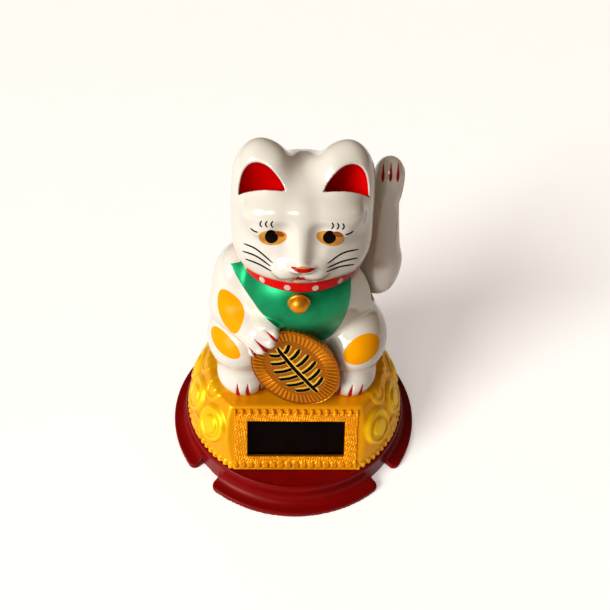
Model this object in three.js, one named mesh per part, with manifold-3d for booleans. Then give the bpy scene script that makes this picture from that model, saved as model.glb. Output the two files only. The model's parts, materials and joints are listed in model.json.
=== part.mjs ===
// Solar beckoning cat figurine, modelled as the pieces it is assembled from.
// Units are millimetres. +Z is up, the cat faces -Y, and the origin is the centre of the base's underside.
import * as THREE from 'three';
import { mergeVertices } from 'three/addons/utils/BufferGeometryUtils.js';
import Module from 'manifold-3d';

const wasm = await Module();
wasm.setup();

// ---------------------------------------------------------------- driving dimensions

const GAP = 0.3; // clearance kept between neighbouring pieces

const BASE = {
  flangeRadius: 47.5, flangeThickness: 2.2, drumRadius: 42.4, height: 10,
  wall: 2, notchWidth: 9.6, notchAngles: [43, 137, 223, 317],
};
const PEDESTAL = {
  bottomRadius: 42, topRadius: 33, bottomZ: BASE.height, topZ: 31.5, wall: 1.8,
  bulge: 1.2, facetTopY: -22.6, facetSlope: 60,
};
const WINDOW = { width: 34.4, height: 13.2, middleZ: 20.9, bezel: 4.6, bezelLift: 0.7 };
const BODY = { bottomZ: PEDESTAL.topZ + GAP, wall: 1.8, partingY: -4.5 };
const PIVOT = { y: 7, z: 69, axleRadius: 1, boreRadius: 1.15 };
const POCKET = { wallX: 19, radius: 11, topZ: 80, headX: 20.2, headTopZ: 90, halfSpanY: 16 };
const ARM = { wall: 1.4, splitX: 30.6, hubX: [20.6, 29], hubRadius: 3.4 };
const BOARD = { x: [-8, 26], y: [-7, 19], z: 15.5, thickness: 1.2 };
const BOARD_SEAT = BOARD.z + BOARD.thickness + GAP; // where a part on the board starts
const COIL = { x: 10, y: PIVOT.y, bottomZ: 17, topZ: 28, flange: 1.2, flangeRadius: 8.6, coreRadius: 3 };
const LEVER = {
  x: 10, width: 3.4, depth: 4, hubRadius: 3, hubHalf: 2.8, holderZ: [37.7, 41], holderHalf: [3.4, 5],
};
const WEIGHT_TOP = LEVER.holderZ[1] + 6.5;
const MAGNET = { radius: 3.5, height: 3 };
const AXLE_X = [3.4, 28.4];
const COIN = {
  at: [-0.8, -20.4, 49.8], halfWidth: 13.4, halfLength: 17.9, thickness: 2.6, bevel: 0.6, lean: 6, turn: 34,
};
const BELL = { at: [-0.6, -20.6, 79.4], radius: 3.6 };
const SCREW = { headRadius: 2.6, headHeight: 1.6, shankRadius: 1.25 };
const BOARD_SCREW_SIZE = 0.7; // share of SCREW
const FRAME_SCREW_SIZE = 0.75;
const BOSS_RADIUS = { board: 2.6, base: 3.2, body: 2.7 };
const BASE_SCREW_SPOTS = [[0, 30], [-26, -15], [26, -15]];
const BODY_SCREW_SPOTS = [[-13, 13], [-13, -10], [23, 6]];
const FRAME_SCREW_SPOTS = [[4.5, -6.4], [15.5, -6.4]];
const FRAME = {
  x: [2, 18], y: [-8.5, 18], floor: 1.5, cheekX: [[4, 6], [14, 16]], cheekHalf: 4, cheekTopRadius: 3.5,
};
const FRAME_OPENING = [
  [FRAME.x[0] - GAP, FRAME.y[0] - GAP, BODY.bottomZ - 1],
  [FRAME.x[1] + GAP, FRAME.y[1] + GAP, BODY.bottomZ + BODY.wall + 0.5],
];
const BOARD_SCREW_SPOTS = [[-5, 16], [23, -4]];
const FAR = 60; // beyond every side of the figure
const ABOVE = 140; // beyond its top

// The cat's body as overlapping ellipsoids: centre, radii, and turn about X, Y and Z in degrees.
const BODY_FORMS = [
  { at: [0, -3, 103.5], radii: [21, 18.5, 15.6] }, // skull
  { at: [0, -6.5, 95.5], radii: [20, 15.5, 10.5] }, // jowls
  { at: [-0.6, -17.6, 94.4], radii: [8.6, 8.6, 5.8], small: true }, // muzzle
  { at: [-12.2, -3.6, 112.6], radii: [8.6, 8.4, 13] }, // ear
  { at: [12.2, -3.6, 112.6], radii: [8.6, 8.4, 13] }, // ear
  { at: [0, 4, 64], radii: [27.5, 18.5, 28] }, // torso
  { at: [0, -5.5, 73], radii: [18, 14.5, 14] }, // chest
  { at: [0, 6.5, 45.5], radii: [28.5, 21.5, 19] }, // seat
  { at: [-19.3, -3, 49], radii: [12.3, 16, 12.5] }, // haunch
  { at: [19.3, -3, 49], radii: [12.3, 16, 12.5] }, // haunch
  { at: [-20.5, 0, 67], radii: [8.8, 11, 17] }, // shoulder
  { at: [-18, -12, 61], radii: [6.6, 11, 6.2], turn: [0, 0, -35], small: true }, // lower arm
  { at: [-12.5, -19.5, 59.5], radii: [5, 5, 5], small: true }, // paw on the coin
  { at: [-18.4, -10.5, 36.5], radii: [9, 9.8, 7.4], small: true }, // foot
  { at: [18.4, -10.5, 36.5], radii: [9, 9.8, 7.4], small: true }, // foot
];
const ARM_FORMS = [
  { at: [26.8, PIVOT.y, 69.5], radii: [7, 8.6, 9.6] }, // elbow
  { at: [27.3, PIVOT.y, 85.5], radii: [6.2, 6.6, 25] }, // forearm
  { at: [26.9, PIVOT.y, 107.8], radii: [4.7, 5.6, 6.3], small: true }, // paw
];
const FINE = 18; // facets round an outer ellipsoid
const COARSE = 14; // facets round an inner one

const COLOURS = {
  white: [0xece8e1, 0.12, 0], gold: [0xf5b316, 0.35, 0.35], red: [0xa80f0f, 0.25, 0],
  cell: [0x120808, 0.1, 0], board: [0x2f7a45, 0.5, 0], copper: [0xb4662c, 0.4, 0.9],
  black: [0x1c1c1e, 0.5, 0], steel: [0xb7b9bd, 0.3, 1], nylon: [0xd9d6cc, 0.6, 0], lead: [0xb01818, 0.5, 0],
};

// ---------------------------------------------------------------- solids

/** Turns a closed three.js geometry into a solid. */
function solid(geometry) {
  const bare = geometry.clone();
  bare.deleteAttribute('normal');
  bare.deleteAttribute('uv');
  const merged = mergeVertices(bare, 1e-4);
  const index = merged.index.array;
  const kept = [];
  for (let i = 0; i < index.length; i += 3) {
    const [a, b, c] = [index[i], index[i + 1], index[i + 2]];
    if (a !== b && b !== c && c !== a) kept.push(a, b, c);
  }
  return new wasm.Manifold(new wasm.Mesh({
    numProp: 3,
    vertProperties: Float32Array.from(merged.attributes.position.array),
    triVerts: Uint32Array.from(kept),
  }));
}

function placement(at = [0, 0, 0], turn = [0, 0, 0], scale = [1, 1, 1]) {
  const angles = new THREE.Euler(...turn.map(THREE.MathUtils.degToRad), 'ZYX');
  const rotation = new THREE.Quaternion().setFromEuler(angles);
  return new THREE.Matrix4().compose(new THREE.Vector3(...at), rotation, new THREE.Vector3(...scale));
}

function ellipsoid({ at, radii, turn, small }, grow = 0, detail = FINE) {
  const rounds = small ? Math.round(detail * 0.75) : detail;
  const ball = new THREE.SphereGeometry(1, rounds, Math.round(rounds * 0.6));
  ball.rotateX(Math.PI / 2);
  return solid(ball.applyMatrix4(placement(at, turn, radii.map((r) => r + grow))));
}

function box(low, high) {
  const size = high.map((h, i) => h - low[i]);
  const middle = high.map((h, i) => (h + low[i]) / 2);
  return solid(new THREE.BoxGeometry(...size).translate(...middle));
}

/** A cylinder or cone along axis 'x' or 'z', from one end's coordinate to the other's. */
function rod(axis, centre, from, to, radius, segments = 24, endRadius = radius) {
  const tube = new THREE.CylinderGeometry(endRadius, radius, to - from, segments);
  if (axis === 'z') {
    tube.rotateX(Math.PI / 2).translate(centre[0], centre[1], (from + to) / 2);
  } else {
    tube.rotateZ(-Math.PI / 2).translate((from + to) / 2, centre[0], centre[1]);
  }
  return solid(tube);
}

/** A body of revolution about Z from [radius, height] points that start and end on the axis or close. */
function turned(points, segments = 48, at = [0, 0]) {
  const profile = points.map(([r, z]) => new THREE.Vector2(r, z));
  const body = new THREE.LatheGeometry(profile, segments).rotateX(Math.PI / 2).translate(at[0], at[1], 0);
  const made = solid(body);
  if (made.volume() > 0) return made;
  return solid(flipped(body));
}

function flipped(geometry) {
  const turnedOver = geometry.clone();
  const index = turnedOver.index.array;
  for (let i = 0; i < index.length; i += 3) [index[i], index[i + 1]] = [index[i + 1], index[i]];
  return turnedOver;
}

function joined(parts) {
  return parts.reduce((whole, part) => whole.add(part));
}

/** A thin round lead along a smooth curve through the points. */
function lead(points, radius) {
  const section = new THREE.Shape().absarc(0, 0, radius, 0, Math.PI * 2, false);
  const path = new THREE.CatmullRomCurve3(points.map((p) => new THREE.Vector3(...p)));
  const options = { steps: 14, curveSegments: 4, bevelEnabled: false, extrudePath: path };
  return solid(new THREE.ExtrudeGeometry(section, options));
}

// ---------------------------------------------------------------- scene graph helper

const cat = new THREE.Group();

function piece(name, made, colour) {
  const { vertProperties, triVerts, numProp } = made.getMesh();
  const positions = new Float32Array((vertProperties.length / numProp) * 3);
  for (let v = 0; v < positions.length / 3; v += 1) {
    positions.set(vertProperties.subarray(v * numProp, v * numProp + 3), v * 3);
  }
  const geometry = new THREE.BufferGeometry();
  geometry.setAttribute('position', new THREE.BufferAttribute(positions, 3));
  geometry.setIndex(new THREE.BufferAttribute(Uint32Array.from(triVerts), 1));
  geometry.computeVertexNormals();
  const [color, roughness, metalness] = COLOURS[colour];
  const mesh = new THREE.Mesh(geometry, new THREE.MeshStandardMaterial({ color, roughness, metalness }));
  mesh.name = name;
  cat.add(mesh);
}

/** A pan-head screw pointing up from under a plate at plateZ, with its tip at tipZ. */
function screwUp(spot, plateZ, tipZ, size = 1) {
  const seat = plateZ - GAP;
  const head = rod('z', spot, seat - SCREW.headHeight * size, seat, SCREW.headRadius * size, 16);
  return head.add(rod('z', spot, seat - 0.1, tipZ, SCREW.shankRadius * size, 12));
}

/** The clearance hole for a screw. */
function screwHole(spot, from, to, size = 1) {
  return rod('z', spot, from, to, SCREW.shankRadius * size + GAP, 12);
}

// ---------------------------------------------------------------- base

function baseTray() {
  const { flangeRadius, flangeThickness, drumRadius, height, wall, notchWidth } = BASE;
  const inner = drumRadius - wall;
  let tray = turned([
    [0, height - wall], [inner, height - wall], [inner, 0], [flangeRadius, 0],
    [flangeRadius, flangeThickness], [drumRadius, flangeThickness], [drumRadius, height], [0, height],
  ], 56);
  for (const angle of BASE.notchAngles) {
    const notch = new THREE.BoxGeometry(10, notchWidth, flangeThickness * 4);
    notch.translate(drumRadius + 5, 0, 0).rotateZ(THREE.MathUtils.degToRad(angle));
    tray = tray.subtract(solid(notch));
  }
  for (const spot of BOARD_SCREW_SPOTS) {
    tray = tray.add(rod('z', spot, height - 0.5, BOARD.z - GAP, BOSS_RADIUS.board, 16));
  }
  for (const spot of BASE_SCREW_SPOTS) {
    tray = tray.subtract(screwHole(spot, 0, height + 1));
  }
  for (const spot of BOARD_SCREW_SPOTS) {
    tray = tray.subtract(screwHole(spot, height - 1, BOARD.z + 1, BOARD_SCREW_SIZE));
  }
  return tray;
}

// ---------------------------------------------------------------- pedestal

/** The slanted front plane's own frame: X across, local Z out of the face, local Y up the slope. */
function facetFrame() {
  const slope = THREE.MathUtils.degToRad(PEDESTAL.facetSlope);
  const y = PEDESTAL.facetTopY - (PEDESTAL.topZ - WINDOW.middleZ) / Math.tan(slope);
  return placement([0, y, WINDOW.middleZ], [PEDESTAL.facetSlope, 0, 0]);
}

function facetBox(width, height, near, far) {
  const plate = new THREE.BoxGeometry(width, height, far - near).translate(0, 0, (near + far) / 2);
  return solid(plate.applyMatrix4(facetFrame()));
}

function pedestalForm(inset) {
  const { bottomRadius, topRadius, bottomZ, topZ, bulge } = PEDESTAL;
  const [low, high] = [bottomZ + (inset ? -1 : GAP), topZ - inset];
  const levels = 4;
  const side = [];
  for (let i = 0; i <= levels; i += 1) {
    const share = i / levels;
    const radius = bottomRadius + (topRadius - bottomRadius) * share + bulge * Math.sin(Math.PI * share);
    side.push([radius - inset, low + (high - low) * share]);
  }
  const whole = turned([[0, low], ...side, [0, high]], 48);
  return whole.subtract(facetBox(120, 80, -inset, 40));
}

function pedestalShell() {
  const { width, height, bezel, bezelLift } = WINDOW;
  let shell = pedestalForm(0).add(facetBox(width + 2 * bezel, height + 2 * bezel, -1, bezelLift));
  shell = shell.subtract(pedestalForm(PEDESTAL.wall));
  for (const spot of BASE_SCREW_SPOTS) {
    shell = shell.add(rod('z', spot, BASE.height + GAP, PEDESTAL.topZ - 1, BOSS_RADIUS.base, 16));
    shell = shell.subtract(screwHole(spot, BASE.height, 24));
  }
  shell = shell.subtract(facetBox(width, height, -5, 5));
  for (const spot of BODY_SCREW_SPOTS) {
    shell = shell.subtract(screwHole(spot, PEDESTAL.topZ - 3.5, PEDESTAL.topZ + 1.5));
  }
  for (const spot of FRAME_SCREW_SPOTS) {
    shell = shell.subtract(screwHole(spot, PEDESTAL.topZ - 3.5, PEDESTAL.topZ + 1.5, FRAME_SCREW_SIZE));
  }
  return shell;
}

function solarCell() {
  const back = -PEDESTAL.wall - GAP;
  return facetBox(WINDOW.width + 3.6, WINDOW.height + 3.6, back - 1.1, back);
}

// ---------------------------------------------------------------- drive unit in the pedestal

function circuitBoard() {
  let board = box([BOARD.x[0], BOARD.y[0], BOARD.z], [BOARD.x[1], BOARD.y[1], BOARD.z + BOARD.thickness]);
  for (const spot of BOARD_SCREW_SPOTS) {
    board = board.subtract(screwHole(spot, BOARD.z - 1, BOARD.z + 3, BOARD_SCREW_SIZE));
  }
  return board;
}

function boardScrew(spot) {
  const head = rod('z', spot, BOARD_SEAT, BOARD_SEAT + 1.2, SCREW.headRadius * 0.8, 16);
  return head.add(rod('z', spot, BOARD.z - 4, BOARD_SEAT + 0.1, SCREW.shankRadius * BOARD_SCREW_SIZE, 12));
}

function driverChip() {
  const blob = ellipsoid({ at: [-2, 2, BOARD_SEAT], radii: [3.4, 3.4, 1.6], small: true });
  return blob.subtract(box([-10, -10, BOARD_SEAT - 5], [10, 10, BOARD_SEAT]));
}

function storageCapacitor() {
  return rod('z', [21.5, 12], BOARD_SEAT, BOARD_SEAT + 7.5, 3.1, 20);
}

function coilBobbin() {
  const { x, y, bottomZ, topZ, flange, flangeRadius, coreRadius } = COIL;
  return turned([
    [0, bottomZ], [flangeRadius, bottomZ], [flangeRadius, bottomZ + flange], [coreRadius, bottomZ + flange],
    [coreRadius, topZ - flange], [flangeRadius, topZ - flange], [flangeRadius, topZ], [0, topZ],
  ], 32, [x, y]);
}

function driveCoil() {
  const low = COIL.bottomZ + COIL.flange + GAP;
  const high = COIL.topZ - COIL.flange - GAP;
  const outer = rod('z', [COIL.x, COIL.y], low, high, COIL.flangeRadius - 0.8, 32);
  return outer.subtract(rod('z', [COIL.x, COIL.y], low - 1, high + 1, COIL.coreRadius + GAP, 32));
}

function cellLead(side) {
  return lead([
    [side * 6, -24.2, 20], [side * 6, -20, 21], [side * 4 - 2, -14, 19.6], [side * 2 - 4, -5.2, 18.6],
    [side * 2 - 4, -4.6, BOARD_SEAT + 0.7],
  ], 0.6);
}

// ---------------------------------------------------------------- cat body

/** What the arm needs cut out of the shoulder: a round pocket and the way up past the head. */
function armPocket(grow) {
  const { wallX, radius, topZ, headX, headTopZ, halfSpanY } = POCKET;
  const round = rod('x', [PIVOT.y, PIVOT.z], wallX - grow, FAR, radius + grow, 28);
  const way = box(
    [wallX - grow, PIVOT.y - radius - grow, PIVOT.z],
    [FAR, PIVOT.y + halfSpanY + grow, topZ + grow],
  );
  const past = box(
    [headX - grow, PIVOT.y - halfSpanY - grow, topZ - 1],
    [FAR, PIVOT.y + halfSpanY + grow, headTopZ + grow],
  );
  return round.add(way).add(past);
}

/** The oval coin, leaning back and turned on the cat's belly. */
function coinForm(grow = 0) {
  const { at, halfWidth, halfLength, thickness, bevel, lean, turn } = COIN;
  const outline = new THREE.Shape();
  outline.absellipse(0, 0, halfWidth + grow, halfLength + grow, 0, Math.PI * 2, false, 0);
  const slab = new THREE.ExtrudeGeometry(outline, {
    depth: thickness - 2 * bevel + 2 * grow, curveSegments: 12,
    bevelEnabled: true, bevelThickness: bevel, bevelSize: bevel, bevelOffset: -bevel, bevelSegments: 1,
  });
  slab.translate(0, 0, bevel - thickness / 2 - grow);
  slab.rotateZ(THREE.MathUtils.degToRad(turn)).rotateX(THREE.MathUtils.degToRad(90 - lean));
  return solid(slab.translate(...at));
}

function bellForm(grow = 0) {
  return ellipsoid({ at: BELL.at, radii: Array(3).fill(BELL.radius) }, grow);
}

function bodyCavity() {
  const shrink = -BODY.wall;
  const rooms = BODY_FORMS.filter((form) => !form.small).map((form) => ellipsoid(form, shrink, COARSE));
  const floor = box([-FAR, -FAR, BODY.bottomZ + BODY.wall], [FAR, FAR, ABOVE]);
  let room = joined(rooms).intersect(floor).subtract(armPocket(BODY.wall));
  room = room.subtract(coinForm(GAP + BODY.wall));
  for (const spot of BODY_SCREW_SPOTS) room = room.subtract(rod('z', spot, 0, 40, BOSS_RADIUS.body, 16));
  return room;
}

function bodyShell() {
  let body = joined(BODY_FORMS.map((form) => ellipsoid(form)));
  body = body.intersect(box([-FAR, -FAR, BODY.bottomZ], [FAR, FAR, ABOVE]));
  body = body.subtract(armPocket(0)).subtract(bodyCavity());
  body = body.subtract(box(...FRAME_OPENING));
  body = body.subtract(rod('x', [PIVOT.y, PIVOT.z], 10, 30, PIVOT.axleRadius + 1, 20));
  body = body.subtract(coinForm(GAP)).subtract(bellForm(GAP));
  for (const spot of BODY_SCREW_SPOTS) {
    body = body.subtract(screwHole(spot, BODY.bottomZ - 1, 38.5));
  }
  return body;
}

/** Half of the body, in front of or behind the parting plane. */
function bodyHalf(body, front) {
  const cut = BODY.partingY;
  if (front) return body.intersect(box([-FAR, -FAR, 0], [FAR, cut - GAP / 2, ABOVE]));
  return body.intersect(box([-FAR, cut + GAP / 2, 0], [FAR, FAR, ABOVE]));
}

// ---------------------------------------------------------------- pivot frame and swinging arm

function pivotFrame() {
  const low = BODY.bottomZ;
  let frame = box([FRAME.x[0], FRAME.y[0], low], [FRAME.x[1], FRAME.y[1], low + FRAME.floor]);
  for (const [from, to] of FRAME.cheekX) {
    const { cheekHalf, cheekTopRadius } = FRAME;
    frame = frame.add(box([from, PIVOT.y - cheekHalf, low + 0.5], [to, PIVOT.y + cheekHalf, PIVOT.z]));
    frame = frame.add(rod('x', [PIVOT.y, PIVOT.z], from, to, cheekTopRadius, 24));
  }
  frame = frame.subtract(rod('x', [PIVOT.y, PIVOT.z], 0, 20, PIVOT.boreRadius, 24));
  for (const spot of FRAME_SCREW_SPOTS) {
    frame = frame.subtract(screwHole(spot, low - 1, low + 3, FRAME_SCREW_SIZE));
  }
  return frame;
}

function armAxle() {
  return rod('x', [PIVOT.y, PIVOT.z], ...AXLE_X, PIVOT.axleRadius, 24);
}

function armShell() {
  const outer = joined(ARM_FORMS.map((form) => ellipsoid(form)));
  const room = joined(ARM_FORMS.map((form) => ellipsoid(form, -ARM.wall, COARSE)));
  const hub = rod('x', [PIVOT.y, PIVOT.z], ...ARM.hubX, ARM.hubRadius, 24);
  const shell = outer.subtract(room).add(hub);
  return shell.subtract(rod('x', [PIVOT.y, PIVOT.z], 10, AXLE_X[1] + 0.4, PIVOT.axleRadius + GAP, 24));
}

function armHalf(shell, outside) {
  const cut = ARM.splitX;
  if (outside) return shell.intersect(box([cut + GAP / 2, -FAR, 0], [FAR, FAR, ABOVE]));
  return shell.intersect(box([0, -FAR, 0], [cut - GAP / 2, FAR, ABOVE]));
}

/** A box centred on the pendulum, from one height to another. */
function column(x, [halfX, halfY], from, to) {
  return box([x - halfX, PIVOT.y - halfY, from], [x + halfX, PIVOT.y + halfY, to]);
}

function pendulumLever() {
  const { x, width, depth, hubRadius, hubHalf, holderZ, holderHalf } = LEVER;
  const hub = rod('x', [PIVOT.y, PIVOT.z], x - hubHalf, x + hubHalf, hubRadius, 24);
  const stem = column(x, [width / 2, depth / 2], holderZ[0], PIVOT.z);
  const lever = hub.add(stem).add(column(x, holderHalf, ...holderZ));
  return lever.subtract(rod('x', [PIVOT.y, PIVOT.z], 0, 20, PIVOT.axleRadius + GAP, 24));
}

function counterweight() {
  const { x, width, depth, holderZ, holderHalf } = LEVER;
  const low = holderZ[1] + GAP;
  const slot = column(x, [width / 2 + GAP, depth / 2 + GAP], low - 1, WEIGHT_TOP + 1);
  return column(x, holderHalf, low, WEIGHT_TOP).subtract(slot);
}

function leverMagnet() {
  const top = LEVER.holderZ[0] - GAP;
  return rod('z', [LEVER.x, PIVOT.y], top - MAGNET.height, top, MAGNET.radius, 24);
}

// ---------------------------------------------------------------- assembly

/** Numbered pieces, one for each spot. */
function pieces(name, spots, make) {
  spots.forEach((spot, i) => piece(`${name}_${i + 1}`, make(spot), 'steel'));
}

const PEDESTAL_ROOF = PEDESTAL.topZ - PEDESTAL.wall;

piece('base_tray', baseTray(), 'red');
pieces('base_screw', BASE_SCREW_SPOTS, (spot) => screwUp(spot, BASE.height - BASE.wall, 20));
piece('pedestal_shell', pedestalShell(), 'gold');
piece('solar_cell', solarCell(), 'cell');
piece('circuit_board', circuitBoard(), 'board');
pieces('board_screw', BOARD_SCREW_SPOTS, boardScrew);
piece('driver_chip', driverChip(), 'black');
piece('storage_capacitor', storageCapacitor(), 'black');
piece('coil_bobbin', coilBobbin(), 'nylon');
piece('drive_coil', driveCoil(), 'copper');
piece('cell_lead_red', cellLead(1), 'lead');
piece('cell_lead_black', cellLead(-1), 'black');

const body = bodyShell();
piece('body_front_shell', bodyHalf(body, true), 'white');
piece('body_rear_shell', bodyHalf(body, false), 'white');
pieces('body_screw', BODY_SCREW_SPOTS, (spot) => screwUp(spot, PEDESTAL_ROOF, 37.5));
piece('coin', coinForm(), 'gold');
piece('bell', bellForm(), 'gold');

piece('pivot_frame', pivotFrame(), 'nylon');
pieces('frame_screw', FRAME_SCREW_SPOTS, (spot) => screwUp(spot, PEDESTAL_ROOF, 33, FRAME_SCREW_SIZE));

const arm = armShell();
piece('arm_inner_half', armHalf(arm, false), 'white');
piece('arm_outer_half', armHalf(arm, true), 'white');
piece('arm_axle', armAxle(), 'steel');
piece('pendulum_lever', pendulumLever(), 'nylon');
piece('counterweight', counterweight(), 'steel');
piece('lever_magnet', leverMagnet(), 'steel');

export default cat;
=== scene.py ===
"""Looks of the solar beckoning cat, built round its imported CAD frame.

Shapes are worked out in millimetres and turned into metres when a mesh is made.
A rounded shape is a distance field: a function giving how far each point lies outside the surface.
"""

import json
import math

import bpy
import numpy as np
from mathutils import Matrix, Vector


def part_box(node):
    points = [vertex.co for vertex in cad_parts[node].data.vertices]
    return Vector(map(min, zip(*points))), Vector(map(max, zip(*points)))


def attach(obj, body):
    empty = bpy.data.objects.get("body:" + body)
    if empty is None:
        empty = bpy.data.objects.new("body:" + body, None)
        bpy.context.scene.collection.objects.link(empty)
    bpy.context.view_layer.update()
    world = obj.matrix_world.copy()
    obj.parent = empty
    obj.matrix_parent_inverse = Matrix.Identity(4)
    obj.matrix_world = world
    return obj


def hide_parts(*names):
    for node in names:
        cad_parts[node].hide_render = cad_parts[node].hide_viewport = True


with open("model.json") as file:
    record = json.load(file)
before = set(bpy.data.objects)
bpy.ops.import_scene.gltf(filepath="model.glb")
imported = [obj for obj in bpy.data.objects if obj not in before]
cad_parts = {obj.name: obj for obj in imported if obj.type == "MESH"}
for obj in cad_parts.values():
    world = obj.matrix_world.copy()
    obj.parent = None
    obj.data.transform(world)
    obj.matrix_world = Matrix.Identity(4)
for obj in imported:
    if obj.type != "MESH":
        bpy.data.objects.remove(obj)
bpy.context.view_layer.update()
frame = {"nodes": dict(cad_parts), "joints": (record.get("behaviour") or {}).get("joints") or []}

# ---- sizes taken from the frame

MM = 0.001  # metres in a millimetre


def node_box(node):
    """Lowest and highest corner of a CAD node in millimetres."""
    low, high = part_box(node)
    return np.array(low) / MM, np.array(high) / MM


def node_middle(node):
    low, high = node_box(node)
    return (low + high) / 2


PIVOT_Y, PIVOT_Z = (value / MM for value in frame["joints"][0]["pos_m"][1:])
ARM_WALL_X = 19.0  # the shoulder's face beside the arm
POCKET_RADIUS = 11.0
ARM_SPLIT_X = (node_box("arm_inner_half")[1][0] + node_box("arm_outer_half")[0][0]) / 2
PARTING_Y = (node_box("body_front_shell")[1][1] + node_box("body_rear_shell")[0][1]) / 2
SEAM = 0.04  # half the gap left along the body's parting line
ARM_SEAM = 0.01  # the arm's, which meets the surface at a low angle
BODY_BOTTOM = node_box("body_front_shell")[0][2]
BODY_WALL = 1.8
PEDESTAL_WALL = 1.8
ARM_WALL = 1.4
FLANGE_RADIUS = node_box("base_tray")[1][0]
PEDESTAL_FOOT = node_box("pedestal_shell")[0][2]
PEDESTAL_TOP = node_box("pedestal_shell")[1][2]
PEDESTAL_RADIUS = node_box("pedestal_shell")[1][0]
PEDESTAL_TOP_RADIUS = 33.0
BASE_HEIGHT = PEDESTAL_FOOT - 0.3
COIN_AT = node_middle("coin")
BELL_AT = node_middle("bell")
BELL_RADIUS = (node_box("bell")[1][0] - node_box("bell")[0][0]) / 2
FACET_SLOPE = math.radians(60)  # of the window's plane, from the horizontal
FACET_OUT = np.array([0.0, -math.sin(FACET_SLOPE), math.cos(FACET_SLOPE)])
FACET_UP = np.array([0.0, math.cos(FACET_SLOPE), math.sin(FACET_SLOPE)])
CELL_DEPTH = 2.65  # from the window's plane to the middle of the cell
FACET_AT = node_middle("solar_cell") + CELL_DEPTH * FACET_OUT
WINDOW_HALF = np.array([17.2, 6.6])
BEZEL = 4.6
FRAME_BLOCKS = 16  # along each row of the window's frame

# ---- distance fields


def turn_matrix(turn):
    """Rotation about X, then Y, then Z, in degrees."""
    x, y, z = (math.radians(angle) for angle in turn)
    turned = Matrix.Rotation(z, 3, "Z") @ Matrix.Rotation(y, 3, "Y") @ Matrix.Rotation(x, 3, "X")
    return np.array(turned)


def egg(p, at, radii, turn=(0, 0, 0)):
    """An ellipsoid."""
    q = p - np.array(at, float)
    if any(turn):
        q = q @ turn_matrix(turn)
    r = np.array(radii, float)
    near = np.sqrt(((q / r) ** 2).sum(1))
    steep = np.sqrt(((q / (r * r)) ** 2).sum(1))
    return near * (near - 1) / np.maximum(steep, 1e-9)


def limb(p, a, b, radius_a, radius_b):
    """A round-ended cone from a to b."""
    a, b = np.array(a, float), np.array(b, float)
    along = b - a
    t = np.clip(((p - a) @ along) / (along @ along), 0, 1)
    return np.linalg.norm(p - a - t[:, None] * along, axis=1) - (radius_a + (radius_b - radius_a) * t)


def slab(q, half, rounding=0.0):
    """A box about the origin with rounded edges."""
    d = np.abs(q) - (np.array(half, float) - rounding)
    outside = np.linalg.norm(np.maximum(d, 0), axis=1)
    return outside + np.minimum(d.max(1), 0) - rounding


def merge(a, b, soft):
    """Both shapes, with a fillet about as wide as soft between them."""
    h = np.maximum(soft - np.abs(a - b), 0) / soft
    return np.minimum(a, b) - h * h * soft / 4


def cut(a, b, soft):
    """Shape a without b, with the edge rounded."""
    return -merge(-a, b, soft)


def shelled(d, wall):
    """A hollow skin under the surface of d."""
    return np.abs(d + wall / 2) - wall / 2


def grooved(p, d, lines, soft):
    """Shape d with a round-ended groove cut along each line, from one end and radius to the other."""
    d = d.copy()
    for a, b, radius_a, radius_b in lines:
        middle = (np.array(a) + np.array(b)) / 2
        reach = np.linalg.norm(np.array(b) - np.array(a)) / 2 + max(radius_a, radius_b) + 2 * soft
        near = np.linalg.norm(p - middle, axis=1) < reach
        d[near] = cut(d[near], limb(p[near], a, b, radius_a, radius_b), soft)
    return d


# ---- the cat

NOSE_X = -0.6  # the face's middle, turned slightly to the cat's right


def ear_scoop(p, side):
    """The hollow of an ear: an arch, closed below by a plane along the red's lower edge."""
    arch = egg(p, (side * 5.8, -13.5, 91.3), (9.9, 9.5, 36.2), (0, side * 16.5, 0))
    return np.maximum(arch, 52.1 - p @ np.array([side * -0.087, 0.83, 0.555]))


def face(p):
    """The head without its ears."""
    d = egg(p, (0, -3, 103.5), (21, 18.5, 15.6))
    d = merge(d, egg(p, (0, -6.5, 95.5), (20, 15.5, 10.5)), 7)  # jaw
    for side in (-1, 1):
        d = merge(d, egg(p, (side * 11, -8, 93.6), (9, 11, 9.8)), 3)  # cheek
    for side in (-1, 1):
        brow = egg(p, (side * 9, -15, 109.5), (7.5, 4.4, 4))
        socket = egg(p, (side * 9 + NOSE_X, -23.6, 106), (6, 3.2, 2.8), (0, side * 8, 0))
        eyeball = egg(p, (side * 9 + NOSE_X, -18.2, 105.8), (4.8, 2.6, 2.6))
        d = merge(cut(merge(d, brow, 6), socket, 2.5), eyeball, 1.5)
    d = merge(d, limb(p, (-0.5, -17, 110.5), (NOSE_X, -23.4, 98.4), 2.4, 2.3), 4)  # bridge
    d = merge(d, egg(p, (NOSE_X + 0.2, -24.8, 97.4), (3.9, 2.1, 1.6)), 1.2)  # nose
    for side in (-1, 1):
        inner_corner, nostril = (side * 5.2 + NOSE_X, -23.0, 107.5), (side * 4.6 + NOSE_X, -25.4, 101)
        beside_bridge = limb(p, inner_corner, nostril, 2.2, 1.8)
        d = cut(d, beside_bridge, 3)
    d = merge(d, egg(p, (NOSE_X, -15.5, 91.3), (13, 6.8, 5.2)), 3)  # chin
    for side in (-1, 1):
        d = merge(d, egg(p, (side * 3.9 + NOSE_X, -20.5, 94.7), (4.9, 4.7, 3.9)), 1.9)  # muzzle
    return d


def skull(p):
    """The head before its ears are hollowed."""
    d = face(p)
    for side in (-1, 1):
        ear = egg(p, (side * 12.2, -3.6, 112.6), (8.6, 8.4, 12.96))
        ear = merge(ear, egg(p, (side * 8.6, -5.5, 112.5), (6.2, 8.4, 11)), 3)
        d = merge(d, ear, 4)
    return d


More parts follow.
